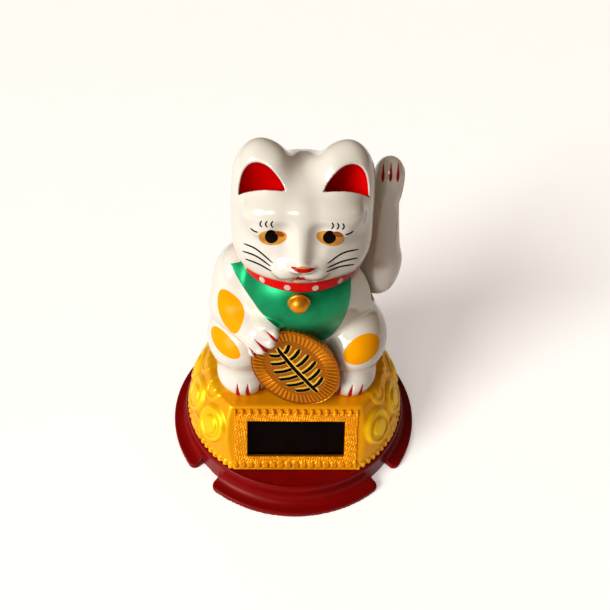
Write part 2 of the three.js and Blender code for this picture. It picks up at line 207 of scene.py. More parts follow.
def head(p):
    d = skull(p)
    for side in (-1, 1):
        d = cut(d, ear_scoop(p, side), 0.5)
    return grooved(p, d, [((NOSE_X, -27.0, 97.0), (NOSE_X, -24.6, 90.4), 0.5, 0.8)], 0.8)


# Notches between toes and fingers: the closed end, the open end, and the width there.
FOOT_NOTCHES = [((x + lean, -20.1, 40.6), (x, -20.9, 33.4), 1.9)
                for x, lean in ((-20.6, 0), (-17.1, 0), (-13.1, 0), (14.2, 0.9), (18.3, 0.9), (21.9, 0.7))]
COIN_NOTCHES = [((-16.2, -23.0, 62.2), (-13.0, -24.2, 58.2), 1.1),
                ((-14.4, -22.8, 65.7), (-9.8, -24.2, 60.9), 1.5),
                ((-10.7, -21.6, 68.4), (-7.2, -23.6, 65.4), 1.3)]
FINGERS = [(-14.6, -22.2, 59.6), (-12.0, -22.6, 61.0), (-9.2, -22.4, 63.6), (-8.2, -21.2, 66.4)]
PAW_NOTCHES = [((x, 3.0, 115.6), (x, 0.6, 110.2), 1.2) for x in (24.0, 26.2, 28.4)]


def notched(p, d, notches):
    """Shape d with shallow grooves, widening to their open ends."""
    lines = [(closed, opened, 0.08, 0.35 * width) for closed, opened, width in notches]
    return grooved(p, d, lines, 0.7)


def torso(p):
    d = egg(p, (0, 4, 64), (27.5, 18.5, 28))
    d = merge(d, egg(p, (0, -5.5, 73), (18, 14.5, 14)), 6)  # chest
    d = merge(d, egg(p, (0, 6.5, 45.5), (28.5, 21.5, 19)), 6)  # rump
    d = merge(d, egg(p, (0, 6.5, 35), (28, 18.5, 9)), 4)  # the seat, over the screws and the arm's frame
    d = merge(d, egg(p, (-20.5, 0, 67), (8.8, 11, 17)), 3)  # shoulder
    d = merge(d, limb(p, (-23, -5, 63), (-13.4, -18.6, 62.2), 7, 4.8), 3)  # forearm
    d = merge(d, egg(p, (-10.5, -17.8, 67.0), (4.6, 4.2, 3.2)), 2)  # wrist, against the chest
    for finger in FINGERS:
        d = merge(d, limb(p, (-14, -18.5, 64), finger, 3.2, 1.9), 0.8)
    for side in (-1, 1):
        d = merge(d, egg(p, (side * 19.3, -3, 49), (12.3, 16, 12.5)), 1.6)  # haunch
        d = merge(d, egg(p, (side * 18.7, -10.2, 37.2), (9.6, 10.4, 8.2)), 4)  # foot
    return notched(p, d, FOOT_NOTCHES + COIN_NOTCHES)


def arm_pocket(p):
    """The room the arm needs in the shoulder, and beside the jaw."""
    y, z = p[:, 1] - PIVOT_Y, p[:, 2] - PIVOT_Z
    disc = np.sqrt(y * y + z * z) - POCKET_RADIUS
    way_up = np.maximum(np.abs(y) - POCKET_RADIUS, -z)
    beside_body = np.maximum(np.minimum(disc, way_up), np.maximum(ARM_WALL_X - p[:, 0], p[:, 2] - 80))
    beside_jaw = np.maximum(np.abs(y) - 16.5, 20.2 - p[:, 0])
    beside_jaw = np.maximum(beside_jaw, np.abs(p[:, 2] - 84.5) - 5.5)
    return np.minimum(beside_body, beside_jaw)


def cat(p):
    d = merge(head(p), torso(p), 1.2)
    return cut(d, arm_pocket(p), 0.8)


def coin_room(p):
    """The bed the coin lies in."""
    q = (p - COIN_AT) @ COIN_AXES.T
    across = np.sqrt((q[:, 0] / (COIN_HALF[0] + 0.2)) ** 2 + (q[:, 1] / (COIN_HALF[1] + 0.2)) ** 2) - 1
    return np.maximum(across * COIN_HALF[0], np.abs(q[:, 2]) - COIN_THICK / 2 - 0.2)


def cat_wall(p):
    """The hollow moulded body with its openings."""
    whole = np.maximum(cat(p), BODY_BOTTOM - p[:, 2])
    wall = shelled(np.maximum(whole, -coin_room(p)), BODY_WALL)
    axle_hole = np.maximum(np.hypot(p[:, 1] - PIVOT_Y, p[:, 2] - PIVOT_Z) - 2, 10 - p[:, 0])
    frame_low, frame_high = node_box("pivot_frame")
    middle, half = (frame_low + frame_high) / 2, (frame_high - frame_low) / 2 + 0.3
    half[2] = 3.0
    floor_hole = slab(p - [middle[0], middle[1], BODY_BOTTOM], half)
    return np.maximum(wall, -np.minimum(axle_hole, floor_hole))


def raised_arm(p):
    d = egg(p, (26.9, PIVOT_Y, 70.2), (7, 8.8, 8.6))
    d = merge(d, limb(p, (27.2, PIVOT_Y, 77), (26.3, PIVOT_Y, 100), 6.7, 4.3), 6)
    d = merge(d, egg(p, (26.7, PIVOT_Y, 107.8), (4.8, 5.6, 6.3)), 6)
    return notched(p, d, PAW_NOTCHES)


def arm_wall(p):
    skin = shelled(raised_arm(p), ARM_WALL)
    from_axle = np.hypot(p[:, 1] - PIVOT_Y, p[:, 2] - PIVOT_Z)
    hub = np.maximum(from_axle - 3.4, np.abs(p[:, 0] - 24.8) - 4.2)
    return np.maximum(np.minimum(skin, hub), -np.maximum(from_axle - 1.3, p[:, 0] - 28.8))


# ---- collar, bell and coin fields

COLLAR_AT = np.array([0.0, -2.0])
COLLAR_RADII = np.array([19.1, 17.9])
COLLAR_Z = (83.0, 87.4)
COLLAR_DOTS = 14
COIN_TURN = math.radians(34)  # the long axis leans to the cat's right
COIN_LEAN = math.radians(84)
COIN_HALF = (13.4, 17.9)
COIN_THICK = 2.6


def coin_axes():
    """The coin's width, length and front, as rows."""
    turn_x, turn_y = math.cos(COIN_TURN), math.sin(COIN_TURN)
    lean_y, lean_z = math.cos(COIN_LEAN), math.sin(COIN_LEAN)
    return np.array([
        [turn_x, turn_y * lean_y, turn_y * lean_z],
        [-turn_y, turn_x * lean_y, turn_x * lean_z],
        [0, -lean_z, lean_y],
    ])


COIN_AXES = coin_axes()


def collar(p):
    """A flat band round the neck, pressed into it."""
    q = (p[:, :2] - COLLAR_AT) / COLLAR_RADII
    around = (np.linalg.norm(q, axis=1) - 1) * COLLAR_RADII[1]
    low, high = COLLAR_Z
    ring = np.stack([around + 3.2, p[:, 2] - (low + high) / 2], 1)
    return slab(ring, (3.2, (high - low) / 2), 0.9)


def bell(p):
    """A round bell with a seam lip, and a slot across its underside."""
    q = p - BELL_AT
    d = np.linalg.norm(q, axis=1) - (BELL_RADIUS - 0.45)
    lip = np.hypot(np.hypot(q[:, 0], q[:, 2]) - (BELL_RADIUS - 0.45), q[:, 1] - 0.3) - 0.42
    d = merge(d, lip, 0.5)
    return cut(d, limb(p, BELL_AT + [-1.8, -1.2, -3.8], BELL_AT + [1.8, -1.2, -3.8], 0.5, 0.5), 0.3)


# ---- pedestal and base fields

RELIEF_COUNT = 12  # coin reliefs from one side of the window round to the other
RELIEF_FROM = math.radians(-38.1)
RELIEF_STEP = math.radians(254.4 / (RELIEF_COUNT - 1))
RELIEF_Z = 21.4
SCALLOP_ROWS = (30.4, 13.2)
TEETH = 101  # round the pedestal's lower edge
BOW = 1.2  # how far the cone swells
SLOPE_STRETCH = 1 / math.sin(math.atan2(PEDESTAL_TOP - PEDESTAL_FOOT, PEDESTAL_RADIUS - PEDESTAL_TOP_RADIUS))


def ease(x, low, high):
    """0 at low, 1 at high, and smooth between."""
    t = np.clip((x - low) / (high - low), 0, 1)
    return t * t * (3 - 2 * t)


def coin_relief(r):
    """Height of a coin relief at distance r from its middle: flank, rim, groove and domed boss."""
    disc = 1.15 * ease(r, 7.5, 6.0)
    groove = -0.55 * ease(r, 5.3, 4.6) * ease(r, 3.0, 3.8)
    boss = 0.35 * np.sqrt(np.clip(1 - (r / 3.4) ** 2, 0, 1))
    return disc + groove + boss


def scallop(r):
    """Height of the small stepped discs between the coins."""
    return 0.5 * ease(r, 4.9, 4.1) - 0.35 * ease(r, 3.2, 2.7) + 0.4 * ease(r, 1.9, 0.9)


def relief(p):
    """Height of the pedestal's ornament over its plain cone."""
    angle = np.arctan2(p[:, 1], p[:, 0])
    turn = np.mod(angle - RELIEF_FROM + math.pi / 6, 2 * math.pi) - math.pi / 6
    place = np.clip(np.round(turn / RELIEF_STEP), 0, RELIEF_COUNT - 1)
    radius = np.hypot(p[:, 0], p[:, 1])
    across = (turn - place * RELIEF_STEP) * radius
    height = coin_relief(np.hypot(across, (p[:, 2] - RELIEF_Z) * SLOPE_STRETCH))
    between = np.clip(np.floor(turn / RELIEF_STEP), 0, RELIEF_COUNT - 2) + 0.5
    across = (turn - between * RELIEF_STEP) * radius
    for z in SCALLOP_ROWS:
        height = np.maximum(height, scallop(np.hypot(across, (p[:, 2] - z) * SLOPE_STRETCH)))
    teeth = 0.5 + 0.5 * np.cos(angle * TEETH)
    return np.maximum(height, 0.55 * ease(teeth, 0.15, 0.5) * ease(p[:, 2], 12.9, 12.3))


def facet_frame(p):
    """Coordinates on the window's plane: across, up and out."""
    q = p - FACET_AT
    return np.stack([q[:, 0], q @ FACET_UP, q @ FACET_OUT], 1)


def cone(p):
    """The pedestal's plain bowed cone under its flat top."""
    share = np.clip((p[:, 2] - PEDESTAL_FOOT) / (PEDESTAL_TOP - PEDESTAL_FOOT), -0.5, 1.2)
    bow = BOW * 4 * share * (1 - share)
    radius = PEDESTAL_RADIUS - 0.9 + (PEDESTAL_TOP_RADIUS - PEDESTAL_RADIUS) * share + bow
    return (np.hypot(p[:, 0], p[:, 1]) - radius) / SLOPE_STRETCH


def pedestal(p):
    q = facet_frame(p)
    side = cone(p) - relief(p)
    side = cut(side, -q[:, 2], 0.6)
    d = cut(side, PEDESTAL_TOP - 0.02 - p[:, 2], 1.0)
    d = np.maximum(shelled(d, PEDESTAL_WALL), PEDESTAL_FOOT - p[:, 2])
    window = slab(q, (WINDOW_HALF[0] + 1.5, WINDOW_HALF[1] + 1.5, 4.0))
    return np.maximum(d, -window)


def pebbled(p, size):
    """A fine irregular grain between -1 and 1."""
    total = np.zeros(len(p))
    for number in range(7):
        way = np.array([math.sin(2.1 * number + 1), math.cos(3.7 * number), math.sin(5.3 * number + 2)])
        total += np.sin(p @ (way / np.linalg.norm(way)) * (2 * math.pi / size) * (1 + 0.13 * number) + number)
    return total / 4


def window_frame(p):
    """The grained frame, with a row of narrow ridges on top and a row of round blocks below."""
    q = facet_frame(p)
    half = WINDOW_HALF + BEZEL - 0.1
    panel = slab(q - [0, 0, -0.4], (half[0], half[1] - 1.4, 0.95), 0.25)
    panel = panel - 0.11 * pebbled(p, 0.95)
    pitch = 2 * half[0] / FRAME_BLOCKS
    step = q[:, 0] - np.round(q[:, 0] / pitch) * pitch
    low_row = slab(np.stack([step, q[:, 1] + half[1] - 1.2, q[:, 2]], 1), (pitch * 0.42, 1.35, 0.85), 0.55)
    ridges = slab(np.stack([step, q[:, 1] - half[1] + 1.1, q[:, 2]], 1), (0.55, 1.2, 0.85), 0.4)
    bed = slab(q - [0, half[1] - 1.3, -0.9], (half[0], 1.4, 0.7), 0.2)
    rows = np.minimum(np.maximum(low_row, np.abs(q[:, 0]) - half[0] - 0.4), np.minimum(ridges, bed))
    rows = np.maximum(rows, np.abs(q[:, 0]) - half[0])
    d = merge(panel, rows, 0.35)
    d = np.maximum(d, -1.6 - q[:, 2])
    return cut(d, slab(q, (WINDOW_HALF[0], WINDOW_HALF[1], 6)), 0.4)


DRUM_RADIUS = 42.4
DRUM_WALL = 2.0
FLANGE_THICK = 2.2
NOTCH_ANGLES = (43, 137, 223, 317)
NOTCH_HALF = 4.8


def base(p):
    """A drum on a notched flange, hollow underneath."""
    radius = np.hypot(p[:, 0], p[:, 1])
    drum = slab(np.stack([radius, p[:, 2]], 1), (DRUM_RADIUS, BASE_HEIGHT), 0.9)
    plan = radius - FLANGE_RADIUS
    notches = np.full(len(p), 1e3)
    for angle in NOTCH_ANGLES:
        out = np.array([math.cos(math.radians(angle)), math.sin(math.radians(angle))])
        along, across = p[:, :2] @ out, p[:, 0] * -out[1] + p[:, 1] * out[0]
        notch = np.maximum(np.abs(across) - NOTCH_HALF, DRUM_RADIUS - 1 - along)
        notches = np.minimum(notches, notch)
    flange = np.stack([cut(plan, notches, 3.2), p[:, 2]], 1)
    flange = slab(np.stack([flange[:, 0] + 40, flange[:, 1]], 1), (40, FLANGE_THICK), 0.7)
    skirt = np.maximum(merge(flange, drum, 4.5), -notches)
    d = np.minimum(skirt, drum)
    lip = np.hypot(radius - DRUM_RADIUS + 0.9, p[:, 2] - BASE_HEIGHT + 0.25) - 0.5
    d = merge(d, lip, 0.4)
    hollow = np.maximum(radius - DRUM_RADIUS + DRUM_WALL, p[:, 2] - BASE_HEIGHT + DRUM_WALL)
    return np.maximum(np.maximum(d, -hollow), -p[:, 2])


# ---- meshing

BLOCK = 8  # cells along a side of the blocks that are searched for the surface
CHUNK = 30000
REACH = 0.03  # how far round a point its gradient is measured
CORNERS = np.array([[i, j, k] for i in (0, 1) for j in (0, 1) for k in (0, 1)])
TETRA = np.array([[1, -1, -1], [-1, -1, 1], [-1, 1, -1], [1, 1, 1]], float)


def measured(field, p):
    """The field at many points, a chunk at a time."""
    return np.concatenate([field(p[i:i + CHUNK]) for i in range(0, len(p), CHUNK)])


def slope_of(field, p):
    """The field's gradient."""
    return sum(way * measured(field, p + way * REACH)[:, None] for way in TETRA) / (4 * REACH)


def normals_of(field, p):
    slope = slope_of(field, p)
    return slope / np.maximum(np.linalg.norm(slope, axis=1), 1e-9)[:, None]


def snapped(field, p, limit):
    """Points moved onto the surface in two rounds, by at most limit each."""
    for _ in range(2):
        slope = slope_of(field, p)
        move = measured(field, p) / np.maximum((slope * slope).sum(1), 0.2)
        p = p - np.clip(move, -limit, limit)[:, None] * slope
    return p


def sampled(field, low, blocks, step):
    """The field on a grid, worked out only in the blocks near its surface."""
    value = np.empty(blocks * BLOCK + 1)
    near = np.zeros(value.shape, bool)
    starts = np.stack(np.meshgrid(*[np.arange(n) * BLOCK for n in blocks], indexing="ij"), -1).reshape(-1, 3)
    middles = measured(field, low + (starts + BLOCK / 2) * step)
    for (i, j, k), distance in zip(starts, middles):
        part = np.s_[i:i + BLOCK + 1, j:j + BLOCK + 1, k:k + BLOCK + 1]
        value[part] = distance
        near[part] |= abs(distance) < 1.35 * BLOCK * step
    value[near] = measured(field, low + np.argwhere(near) * step)
    return value


def net(field, low, high, step):
    """Points and four-sided faces of the field's surface inside a box (surface nets)."""
    low = np.array(low, float)
    blocks = np.ceil((np.array(high, float) - low) / (step * BLOCK)).astype(int)
    value = sampled(field, low, blocks, step)
    inside = value < 0
    size = np.array(value.shape) - 1
    held = sum(inside[i:i + size[0], j:j + size[1], k:k + size[2]].astype(int) for i, j, k in CORNERS)
    active = (held > 0) & (held < 8)
    cells = np.argwhere(active)
    number = np.full(active.shape, -1)
    number[active] = np.arange(len(cells))
    middle, crossings = np.zeros((len(cells), 3)), np.zeros(len(cells))
    for a in CORNERS:
        for b in CORNERS:
            if (b - a).sum() != 1 or np.abs(b - a).sum() != 1:
                continue
            at_a, at_b = value[tuple((cells + a).T)], value[tuple((cells + b).T)]
            crossed = (at_a < 0) != (at_b < 0)
            t = at_a[crossed] / (at_a - at_b)[crossed]
            middle[crossed] += a + t[:, None] * (b - a)
            crossings[crossed] += 1
    points = low + (cells + middle / crossings[:, None]) * step
    faces = []
    for axis in range(3):
        u, v = np.eye(3, dtype=int)[(axis + 1) % 3], np.eye(3, dtype=int)[(axis + 2) % 3]
        ahead = np.eye(3, dtype=int)[axis]
        start = u + v
        stop = np.array(value.shape) - ahead - u - v
        here = inside[start[0]:stop[0], start[1]:stop[1], start[2]:stop[2]]
        moved = start + ahead
        end = stop + ahead
        there = inside[moved[0]:end[0], moved[1]:end[1], moved[2]:end[2]]
        spots = np.argwhere(here != there) + start
        ring = [number[tuple((spots - u - v).T)], number[tuple((spots - v).T)],
                number[tuple(spots.T)], number[tuple((spots - u).T)]]
        quads = np.stack(ring, 1)
        outward = inside[tuple(spots.T)]
        quads[~outward] = quads[~outward][:, ::-1]
        faces.append(quads)
    return snapped(field, points, step * 0.6), np.concatenate(faces)


# ---- pieces


def piece(name, points, faces, body, materials, normals=None, marks=None):
    """Makes one visible piece from points in millimetres. faces is a list of arrays of corner numbers."""
    mesh = bpy.data.meshes.new(name)
    corners = np.concatenate([part.ravel() for part in faces])
    sizes = np.concatenate([np.full(len(part), part.shape[1]) for part in faces])
    mesh.vertices.add(len(points))
    mesh.vertices.foreach_set("co", (points * MM).astype(np.float32).ravel())
    mesh.loops.add(len(corners))
    mesh.loops.foreach_set("vertex_index", corners.astype(np.int32))
    mesh.polygons.add(len(sizes))
    mesh.polygons.foreach_set("loop_start", (np.cumsum(sizes) - sizes).astype(np.int32))
    mesh.polygons.foreach_set("use_smooth", np.ones(len(sizes), bool))
    mesh.update(calc_edges=True)
    if normals is not None:
        mesh.normals_split_custom_set_from_vertices(normals.astype(np.float32))
    for attribute, values in (marks or {}).items():
        layer = mesh.attributes.new(attribute, "FLOAT", "POINT")
        layer.data.foreach_set("value", values.astype(np.float32))
    for material in materials:
        mesh.materials.append(material)
    made = bpy.data.objects.new(name, mesh)
    bpy.context.scene.collection.objects.link(made)
    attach(made, body)
    return made


def moulded(name, field, low, high, step, body, material, height=None):
    """A piece from a distance field. height, if given, is a field stored for its material to read."""
    points, faces = net(field, low, high, step)
    marks = {"height": measured(height, points)} if height else None
    return piece(name, points, [faces], body, [material], normals_of(field, points), marks)


def halved(name, whole, side, axis, at, low, high, step, body, material):
    """The part of a shape on one side of a parting plane, with its edge exactly on the plane."""
    low = np.array(low, float)
    low[axis] = at - (round((at - low[axis]) / step) + 0.5) * step  # puts the plane halfway through cells
    points, faces = net(lambda p: np.maximum(whole(p), side * (at - p[:, axis])), low, high, step)
    near = np.abs(points[:, axis] - at) < 0.55 * step
    edge = points[near]
    edge[:, axis] = at
    rim = np.abs(measured(whole, edge)) < 0.6 * step
    for _ in range(3):
        slope = slope_of(whole, edge[rim])
        slope[:, axis] = 0
        move = measured(whole, edge[rim]) / np.maximum((slope * slope).sum(1), 0.2)
        edge[rim] -= np.clip(move, -0.4 * step, 0.4 * step)[:, None] * slope
    points[near] = edge
    return piece(name, points, [faces], body, [material], normals_of(whole, points))


class Stencil:
    """A flat sheet held in front of a surface. Marks drawn on it are pressed straight onto the surface."""

    def __init__(self, at, facing):
        self.at = np.array(at, float)
        self.out = np.array(facing, float) / np.linalg.norm(facing)
        self.right = np.cross([0, 0, 1], self.out)
        self.right /= np.linalg.norm(self.right)
        self.up = np.cross(self.out, self.right)

    def pressed(self, flat, field):
        """Surface points under flat points."""
        start = self.at + flat[:, :1] * self.right + flat[:, 1:] * self.up + self.out * 9
        way = np.zeros(len(flat))
        for _ in range(50):
            way += np.clip(field(start - way[:, None] * self.out), -1, 3) * 0.75
            way = np.minimum(way, 24)
        return start - way[:, None] * self.out


def spline(points, count):
    """A smooth line through points."""
    points = np.array(points, float)
    padded = np.concatenate([[2 * points[0] - points[1]], points, [2 * points[-1] - points[-2]]])
    t = np.linspace(0, len(points) - 1 - 1e-9, count)
    first = t.astype(int)
    t = (t - first)[:, None]
    a, b, c, d = (padded[first + i] for i in range(4))
    bend = (2 * a - 5 * b + 4 * c - d) * t ** 2
    return 0.5 * (2 * b + (c - a) * t + bend + (3 * b - a - 3 * c + d) * t ** 3)


def ribbon(line, left, right):
    """The two edges of a mark that runs along a line with these widths either side."""
    way = np.gradient(line, axis=0)
    way /= np.linalg.norm(way, axis=1)[:, None]
    across = np.stack([way[:, 1], -way[:, 0]], 1)
    return line - across * left[:, None], line + across * right[:, None]


def oval(at, half_length, half_width, tilt, lopsided=1.0, rows=25):
    """Edges of an ellipse whose long axis is tilted from the horizontal, in degrees."""
    s = -np.cos(np.linspace(0.05, math.pi - 0.05, rows))
    way = np.array([math.cos(math.radians(tilt)), math.sin(math.radians(tilt))])
    width = half_width * np.sqrt(1 - s * s)
    return ribbon(np.array(at) + s[:, None] * half_length * way, width * lopsided, width)


def streak(points, width, rows=17, tail=0.25):
    """Edges of a brush stroke that tapers to its two ends."""
    s = np.linspace(-1, 1, rows)
    half = width / 2 * (tail + (1 - tail) * np.sqrt(np.clip(1 - s ** 4, 0, 1)))
    return ribbon(spline(points, rows), half, half)


def decal(name, sheet, field, edges, material, lift=0.1, sink=0.3, columns=9, flat=4, body="figure"):
    """A thin closed layer of paint, or a low relief, between two edges drawn on a stencil."""
    left, right = edges
    rows = len(left)
    across = 0.5 - 0.5 * np.cos(np.linspace(0, math.pi, columns))
    drawn = left[:, None] + (right - left)[:, None] * across[None, :, None]
    points = sheet.pressed(drawn.reshape(-1, 2), field)
    out = normals_of(field, points)
    along = np.linspace(-1, 1, rows)
    rise = np.outer(1 - np.abs(along) ** (3 * flat), 1 - np.abs(2 * across - 1) ** flat).ravel()
    top = points + out * (0.015 + lift * rise)[:, None]
    under = points - out * sink
    grid = np.arange(rows * columns).reshape(rows, columns)
    quads = np.stack([grid[:-1, :-1], grid[:-1, 1:], grid[1:, 1:], grid[1:, :-1]], -1).reshape(-1, 4)
    rim = np.concatenate([grid[0, :-1], grid[:-1, -1], grid[-1, :0:-1], grid[:0:-1, 0]])
    following = np.roll(rim, -1)
    count = rows * columns
    wall = np.stack([rim + count, following + count, following, rim], 1)
    faces = np.concatenate([quads, quads[:, ::-1] + count, wall])
    normals = np.concatenate([out, -out])
    shown = piece(name, np.concatenate([top, under]), [faces], body, [material])
    shown.data.normals_split_custom_set_from_vertices(normals.astype(np.float32))
    return shown


def clipped(points, triangles, value):
    """The part of a triangle mesh where value is below zero, cut cleanly along its border."""
    points, value = list(points), list(value)
    kept, cuts = [], {}

    def border(a, b):
        key = (min(a, b), max(a, b))
        if key not in cuts:
            t = value[a] / (value[a] - value[b])
            points.append(points[a] + (points[b] - points[a]) * t)
            value.append(0.0)
            cuts[key] = len(points) - 1
        return cuts[key]

    for triangle in triangles:
        loop = []
        for a, b in zip(triangle, np.roll(triangle, -1)):
            if value[a] < 0:
                loop.append(a)
            if (value[a] < 0) != (value[b] < 0):
                loop.append(border(a, b))
        kept.extend([loop[0], loop[i], loop[i + 1]] for i in range(1, len(loop) - 1))
    kept = np.array(kept)
    used, renumbered = np.unique(kept, return_inverse=True)
    return np.array(points)[used], renumbered.reshape(-1, 3)


def skin(name, field, mask, low, high, step, body, slot, material):
    """A thin layer over the part of a surface where mask is below zero."""
    points, quads = net(field, low, high, step)
    triangles = np.concatenate([quads[:, [0, 1, 2]], quads[:, [0, 2, 3]]])
    near = mask(points)
    triangles = triangles[(near[triangles] < 0).any(1)]
    points, triangles = clipped(points, triangles, near)
    out = normals_of(field, points)
    pairs = np.concatenate([triangles[:, [0, 1]], triangles[:, [1, 2]], triangles[:, [2, 0]]])
    known = {(a, b) for a, b in pairs}
    rim = np.array([(a, b) for a, b in pairs if (b, a) not in known])
    count = len(points)
    wall = np.stack([rim[:, 1], rim[:, 0], rim[:, 0] + count, rim[:, 1] + count], 1)
    both = np.concatenate([points + out * 0.08, points - out * 0.4])
    return piece(name, both, [triangles, triangles[:, ::-1] + count, wall], body, [material],
                 np.concatenate([out, -out]))


# ---- materials


def material(name, colour, roughness, metallic=0.0, coat=0.0, coat_roughness=0.06, specular=0.5, tint=0.05,
             tint_size=9.0, grain=0.0, grain_size=1.0, painted_shade=None, height=None):
    """A procedural surface: colour that drifts over tint_size, uneven gloss, and a grain grain_size wide.

    Sizes are in millimetres. dark is a painted shade, the colour where the mesh's height attribute is lowest,
    between the two values in height, so recesses come out darker.
    """
    made = bpy.data.materials.new(name)
    made.use_nodes = True
    nodes, links = made.node_tree.nodes, made.node_tree.links
    shader = nodes["Principled BSDF"]
    shader.inputs["Metallic"].default_value = metallic
    shader.inputs["Specular IOR Level"].default_value = specular
    shader.inputs["Coat Weight"].default_value = coat
    shader.inputs["Coat Roughness"].default_value = coat_roughness
    place = nodes.new("ShaderNodeTexCoord")

    def noise(size, detail):
        texture = nodes.new("ShaderNodeTexNoise")
        texture.inputs["Scale"].default_value = 1 / (size * MM)
        texture.inputs["Detail"].default_value = detail
        links.new(place.outputs["Object"], texture.inputs["Vector"])
        return texture.outputs["Fac"]

    drift = nodes.new("ShaderNodeValToRGB")
    drift.color_ramp.elements[0].position = 0.3
    drift.color_ramp.elements[0].color = [*(c * (1 - tint) for c in colour), 1]
    drift.color_ramp.elements[1].position = 0.7
    drift.color_ramp.elements[1].color = [*(min(1.0, c * (1 + tint)) for c in colour), 1]
    links.new(noise(tint_size, 3), drift.inputs["Fac"])
    shade = drift.outputs["Color"]
    # painted shade: the colour darkens towards the lowest height, in recesses
    if painted_shade:
        reader = nodes.new("ShaderNodeAttribute")
        reader.attribute_name = "height"
        span = nodes.new("ShaderNodeMapRange")
        span.inputs["From Min"].default_value, span.inputs["From Max"].default_value = height
        links.new(reader.outputs["Fac"], span.inputs["Value"])
        blend = nodes.new("ShaderNodeMix")
        blend.data_type = "RGBA"
        links.new(span.outputs["Result"], blend.inputs["Factor"])
        blend.inputs["A"].default_value = [*painted_shade, 1]
        links.new(shade, blend.inputs["B"])
        shade = blend.outputs["Result"]
    links.new(shade, shader.inputs["Base Color"])
    gloss = nodes.new("ShaderNodeMapRange")
    gloss.inputs["To Min"].default_value = roughness * 0.82
    gloss.inputs["To Max"].default_value = min(1.0, roughness * 1.18)
    links.new(noise(tint_size * 0.4, 4), gloss.inputs["Value"])
    links.new(gloss.outputs["Result"], shader.inputs["Roughness"])
    if grain:
        bump = nodes.new("ShaderNodeBump")
        bump.inputs["Strength"].default_value = 1.0
        bump.inputs["Distance"].default_value = grain * MM
        links.new(noise(grain_size, 5), bump.inputs["Height"])
        links.new(bump.outputs["Normal"], shader.inputs["Normal"])
    return made


WHITE = material("white_gloss", (0.82, 0.795, 0.745), 0.16, coat=0.5, tint=0.02, tint_size=14,
                 grain=0.012, grain_size=6)
RED_BASE = material("red_plastic", (0.24, 0.0008, 0.0008), 0.34, specular=0.15, tint=0.1,
                    grain=0.02, grain_size=1.2)
# Pedestal gold with painted shade: darker the lower the surface lies, so grooves and the plain cone are
# darker than the raised reliefs.
GOLD = material("gold_paint", (1.0, 0.61, 0.002), 0.38, metallic=0.35, specular=0.25, tint=0.06, tint_size=5,
                grain=0.03, grain_size=0.5, painted_shade=(0.86, 0.36, 0.001), height=(-0.2, 0.9))
GOLD_GRAIN = material("gold_grain", (0.90, 0.36, 0.003), 0.36, metallic=0.5, specular=0.3, tint=0.14,
                      tint_size=2, grain=0.24, grain_size=0.7)
# Coin gold with painted shade: darker in the sunk middle and down the edge, lighter on the border's raised
# ridges.
GOLD_COIN = material("gold_coin", (0.68, 0.26, 0.002), 0.36, metallic=0.6, specular=0.3, tint=0.1,
                     tint_size=4, grain=0.02, grain_size=0.6, painted_shade=(0.40, 0.13, 0.001), height=(-0.35, 0.1))
# Brighter gold than the coin, for the sprig's ridges: a painted highlight along each stroke.
GOLD_HIGHLIGHT = material("gold_highlight", (1.0, 0.60, 0.07), 0.28, metallic=0.6, tint=0.1, tint_size=3,
                     grain=0.03, grain_size=0.8)
GOLD_BELL = material("gold_bell", (0.66, 0.27, 0.005), 0.4, metallic=0.6, tint=0.1, tint_size=3,
                     grain=0.03, grain_size=0.8)
PAINT_RED = material("red_paint", (0.72, 0.0008, 0.0012), 0.3, specular=0.15, tint=0.07, tint_size=4,
                     grain=0.012, grain_size=1.5)
PAINT_CLAW = material("claw_red", (0.52, 0.003, 0.008), 0.35, specular=0.2, tint=0.2, tint_size=1.5,
                      grain=0.02, grain_size=0.6)
PAINT_YELLOW = material("yellow_paint", (1.0, 0.42, 0.0004), 0.3, specular=0.1, tint=0.05, tint_size=5,
                        grain=0.012, grain_size=1.5)
PAINT_GREEN = material("green_pearl", (0.0006, 0.28, 0.115), 0.42, metallic=0.55, coat=0.3,
                       coat_roughness=0.42, specular=0.1, tint=0.16, tint_size=6, grain=0.03, grain_size=0.4)
PAINT_BLACK = material("black_paint", (0.0012, 0.001, 0.0008), 0.45, specular=0.06, tint=0.3, tint_size=2,
                       grain=0.01, grain_size=0.8)
PAINT_AMBER = material("amber_paint", (0.70, 0.33, 0.05), 0.27, specular=0.3, tint=0.12, tint_size=2,
                       grain=0.01, grain_size=0.8)
# A painted shadow under the brow, at each eye's upper right.
PAINT_BROW_SHADOW = material("brow_shadow_paint", (0.34, 0.09, 0.006), 0.3, specular=0.3, tint=0.2, tint_size=1.5,
                       grain=0.01, grain_size=0.8)
PAINT_PINK = material("pink_paint", (0.80, 0.54, 0.50), 0.3, tint=0.05, tint_size=1.5,
                      grain=0.01, grain_size=0.8)
CELL = material("cell_glass", (0.004, 0.0012, 0.001), 0.12, specular=0.2, tint=0.4, tint_size=3,
                grain=0.004, grain_size=2)
BOARD = material("board_green", (0.03, 0.18, 0.06), 0.45, tint=0.1, grain=0.02, grain_size=0.6)
CHIP = material("chip_black", (0.01, 0.01, 0.011), 0.5, tint=0.15, grain=0.02, grain_size=0.3)
NYLON = material("nylon", (0.62, 0.60, 0.53), 0.5, tint=0.05, grain=0.02, grain_size=0.8)
COPPER = material("copper_wire", (0.45, 0.14, 0.04), 0.35, metallic=0.9, tint=0.15,
                  grain=0.06, grain_size=0.3)
STEEL = material("steel", (0.5, 0.5, 0.52), 0.3, metallic=1.0, tint=0.06, grain=0.01, grain_size=0.4)
LEAD_RED = material("lead_red", (0.5, 0.01, 0.01), 0.5, tint=0.1, grain=0.02, grain_size=0.5)
MAGNET = material("magnet_grey", (0.12, 0.12, 0.125), 0.4, metallic=0.6, tint=0.1, grain=0.02, grain_size=0.4)

